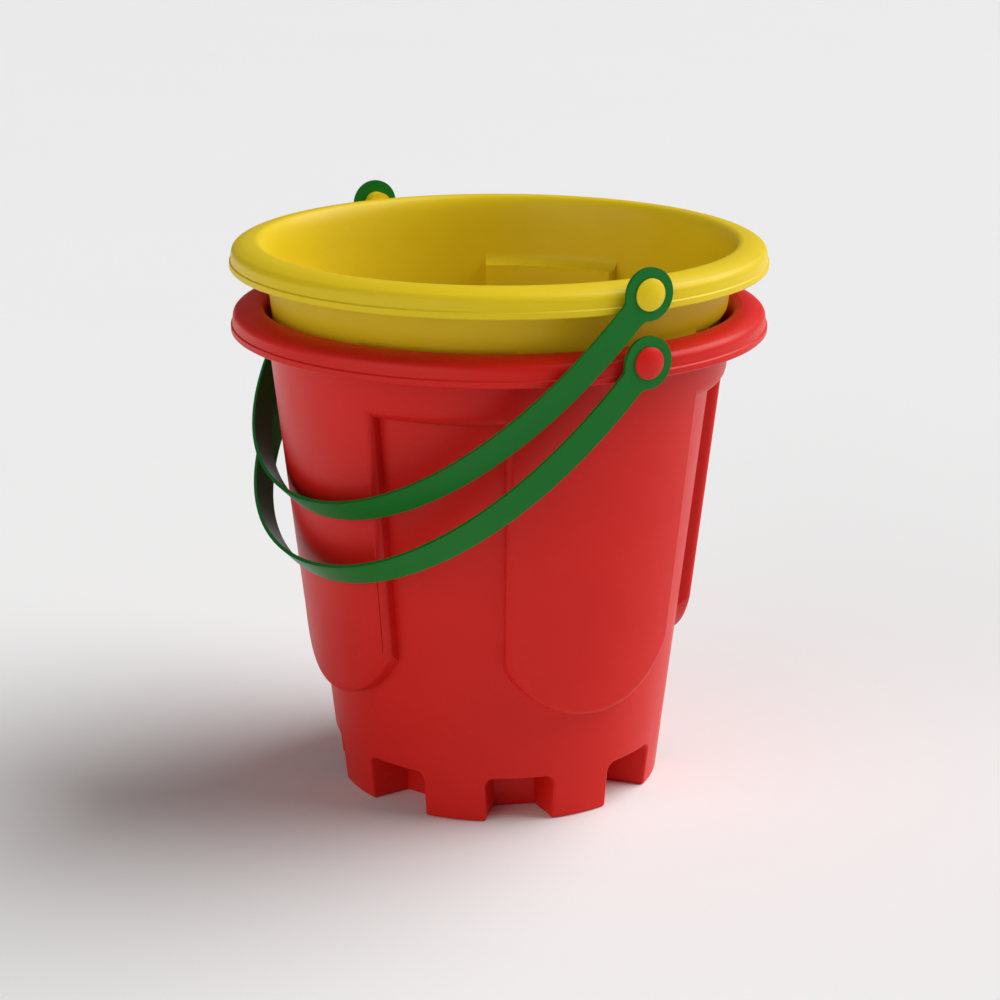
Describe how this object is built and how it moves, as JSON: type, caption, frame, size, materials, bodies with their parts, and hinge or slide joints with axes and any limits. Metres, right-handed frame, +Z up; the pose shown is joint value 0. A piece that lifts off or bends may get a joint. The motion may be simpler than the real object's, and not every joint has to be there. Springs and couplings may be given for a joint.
{
  "type": "sand bucket",
  "caption": "Castle-tower sand buckets nested one in the other, each with raised panels, a notched battlement foot, a rolled rim and a swinging strap handle.",
  "frame": {"origin": "centre of the red bucket's foot, on the ground", "axes": "+Z up, along the buckets' common axis; X along the handle pivots; -Y towards the side that both handles hang down"},
  "size_m": [0.2298, 0.22, 0.2364],
  "materials": {
    "red_shell": "satin moulded red plastic",
    "yellow_shell": "satin moulded yellow plastic",
    "green_strap": "satin moulded dark green plastic"
  },
  "bodies": {
    "red_body": {"red_bucket": "red_shell", "red_pivot_button_right": "red_shell", "red_pivot_button_left": "red_shell"},
    "red_handle_body": {"red_handle": "green_strap"},
    "yellow_body": {"yellow_bucket": "yellow_shell", "yellow_pivot_button_right": "yellow_shell", "yellow_pivot_button_left": "yellow_shell"},
    "yellow_handle_body": {"yellow_handle": "green_strap"}
  },
  "joints": [
    {"name": "red_handle_swing", "type": "hinge", "parent": "red_body", "child": "red_handle_body", "pos_m": [0, 0, 0.20015], "axis": [-1, 0, 0], "range_deg": [0, 17]},
    {"name": "yellow_lift_out", "type": "slide", "parent": "red_body", "child": "yellow_body", "axis": [0, 0, 1], "range_m": [0, 0.0025]},
    {"name": "yellow_handle_swing", "type": "hinge", "parent": "yellow_body", "child": "yellow_handle_body", "pos_m": [0, 0, 0.22619], "axis": [-1, 0, 0], "range_deg": [0, 270]}
  ]
}
